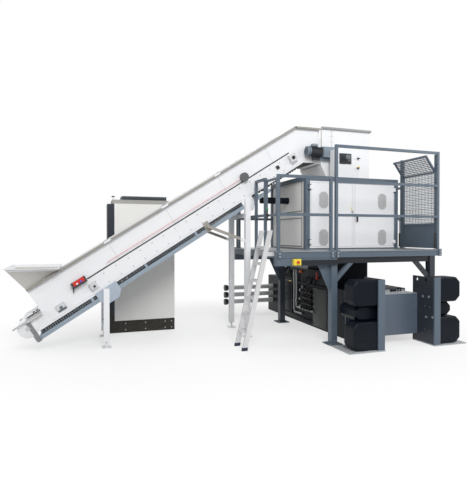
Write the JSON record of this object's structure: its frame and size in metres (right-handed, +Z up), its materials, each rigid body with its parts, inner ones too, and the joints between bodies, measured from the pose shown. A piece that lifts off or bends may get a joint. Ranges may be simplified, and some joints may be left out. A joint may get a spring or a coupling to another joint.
{
  "type": "shredder and baler line",
  "caption": "Paper shredder line: inclined feed conveyor, shredder with hood on a railed work platform, baler with tying columns below, ladder and control cabinet.",
  "frame": {"origin": "on the floor at the centre of the four platform anchor holes", "axes": "+X along the conveyor towards its head, +Y to the back, +Z up"},
  "size_m": [6.525, 4.023, 3.45],
  "materials": {
    "white": "satin white paint",
    "blue_gray": "satin blue-gray paint",
    "deck": "tread plate",
    "beige": "light gray paint",
    "black_paint": "satin black paint",
    "box_gray": "satin gray paint",
    "motor_gray": "machine gray paint",
    "steel": "bare steel",
    "aluminium": "mill finish",
    "blue_plastic": "blue plastic",
    "black_plastic": "black plastic",
    "gray_plastic": "gray plastic",
    "yellow_plastic": "yellow plastic",
    "red_plastic": "red plastic",
    "white_plastic": "white plastic",
    "blue_button": "blue plastic",
    "belt_rubber": "conveyor rubber"
  },
  "bodies": {
    "line_frame": {"discharge_hood": "white", "panel_box": "white", "conveyor_side_near": "white", "conveyor_side_far": "white", "feed_hopper": "white", "conveyor_supports": "white", "platform_legs": "blue_gray", "deck_frame": "blue_gray", "knee_braces": "blue_gray", "cantilever_beams": "blue_gray", "rail_front_left": "blue_gray", "rail_front_right": "blue_gray", "rail_left": "blue_gray", "rails_rear": "blue_gray", "shredder_frame": "blue_gray", "tying_columns": "blue_gray", "conveyor_guard": "blue_gray", "deck_plate": "deck", "shredder_panels": "beige", "cabinet_body": "beige", "press_chamber": "black_paint", "tying_covers": "black_paint", "cutting_drive": "black_paint", "power_pack": "black_paint", "cutting_chamber": "black_paint", "cabinet_base": "black_paint", "bale_box": "box_gray", "conveyor_motor": "motor_gray", "conveyor_bed": "steel", "take_ups": "steel", "hydraulic_pipes": "steel", "ram_cylinder": "steel", "wire_spools": "steel", "ladder_stiles": "aluminium", "ladder_steps": "aluminium", "ladder_shoes": "blue_plastic", "gate_struts": "black_plastic", "panel_screen": "black_plastic", "conveyor_boxes": "gray_plastic", "stop_box": "yellow_plastic", "control_box": "red_plastic", "pull_cord": "red_plastic", "conveyor_belt": "belt_rubber"},
    "door_left": {"door_left": "white"},
    "door_right": {"door_right": "white"},
    "latch": {"door_latch": "black_plastic"},
    "gate": {"mesh_gate": "blue_gray"},
    "ladder_gate": {"ladder_gate": "blue_gray"},
    "shaft_front": {"cutting_shaft_front": "steel"},
    "shaft_back": {"cutting_shaft_back": "steel"},
    "head_drum": {"head_drum": "steel"},
    "tail_drum": {"tail_drum": "steel"},
    "ram": {"press_ram": "steel"},
    "stop_button": {"stop_button": "red_plastic"},
    "panel_stop_button": {"panel_stop_button": "black_plastic"},
    "start_button": {"start_button": "white_plastic"},
    "reset_button": {"reset_button": "blue_button"},
    "key_switch": {"panel_key_switch": "black_plastic"},
    "isolator": {"isolator_knob": "black_plastic"},
    "cabinet_door": {"cabinet_door": "beige"}
  },
  "joints": [
    {"name": "door_left_hinge", "type": "hinge", "parent": "line_frame", "child": "door_left", "pos_m": [-0.982, -0.366, 1.9525], "axis": [0, 0, -1], "range_deg": [0, 35]},
    {"name": "door_right_hinge", "type": "hinge", "parent": "line_frame", "child": "door_right", "pos_m": [0.632, -0.366, 1.9525], "axis": [0, 0, 1], "range_deg": [0, 35]},
    {"name": "latch_turn", "type": "hinge", "parent": "door_right", "child": "latch", "pos_m": [-0.115, -0.36, 1.9525], "axis": [0, -1, 0], "range_deg": [0, 90]},
    {"name": "gate_swing", "type": "hinge", "parent": "line_frame", "child": "gate", "pos_m": [1.04, -0.473, 2.9], "axis": [0, -1, 0], "range_deg": [0, 85]},
    {"name": "ladder_gate_swing", "type": "hinge", "parent": "line_frame", "child": "ladder_gate", "pos_m": [-1.79, -0.485, 2.175], "axis": [0, 0, 1], "range_deg": [0, 90]},
    {"name": "shaft_front_spin", "type": "hinge", "parent": "line_frame", "child": "shaft_front", "pos_m": [0, 0.24, 2.09], "axis": [1, 0, 0], "continuous": true},
    {"name": "shaft_back_spin", "type": "hinge", "parent": "line_frame", "child": "shaft_back", "pos_m": [0, 0.46, 2.09], "axis": [1, 0, 0], "continuous": true},
    {"name": "head_drum_spin", "type": "hinge", "parent": "line_frame", "child": "head_drum", "pos_m": [-0.7, 0.35, 2.95687], "axis": [0, 1, 0], "continuous": true},
    {"name": "tail_drum_spin", "type": "hinge", "parent": "line_frame", "child": "tail_drum", "pos_m": [-5.14341, 0.35, 0.33727], "axis": [0, 1, 0], "continuous": true},
    {"name": "ram_stroke", "type": "slide", "parent": "line_frame", "child": "ram", "axis": [0, -1, 0], "range_m": [0, 0.76]},
    {"name": "stop_press", "type": "slide", "parent": "line_frame", "child": "stop_button", "axis": [0, 1, 0], "range_m": [0, 0.006], "stiffness_N_per_m": 800},
    {"name": "panel_stop_press", "type": "slide", "parent": "line_frame", "child": "panel_stop_button", "axis": [0, 1, 0], "range_m": [0, 0.006], "stiffness_N_per_m": 800},
    {"name": "start_press", "type": "slide", "parent": "line_frame", "child": "start_button", "axis": [0, 1, 0], "range_m": [0, 0.004], "stiffness_N_per_m": 600},
    {"name": "reset_press", "type": "slide", "parent": "line_frame", "child": "reset_button", "axis": [0, 1, 0], "range_m": [0, 0.004], "stiffness_N_per_m": 600},
    {"name": "key_turn", "type": "hinge", "parent": "line_frame", "child": "key_switch", "pos_m": [-0.09731, -0.35, 2.88947], "axis": [0, 1, 0], "range_deg": [0, 90]},
    {"name": "isolator_turn", "type": "hinge", "parent": "line_frame", "child": "isolator", "pos_m": [-1.13161, -0.06, 2.89955], "axis": [0, 1, 0], "range_deg": [0, 90]},
    {"name": "cabinet_door_hinge", "type": "hinge", "parent": "line_frame", "child": "cabinet_door", "pos_m": [-2.943, 1.407, 1.2], "axis": [0, 0, -1], "range_deg": [0, 110]}
  ],
  "couplings": [
    {"joint": "shaft_back_spin", "follows": "shaft_front_spin", "ratio": -1},
    {"joint": "tail_drum_spin", "follows": "head_drum_spin", "ratio": 1}
  ]
}
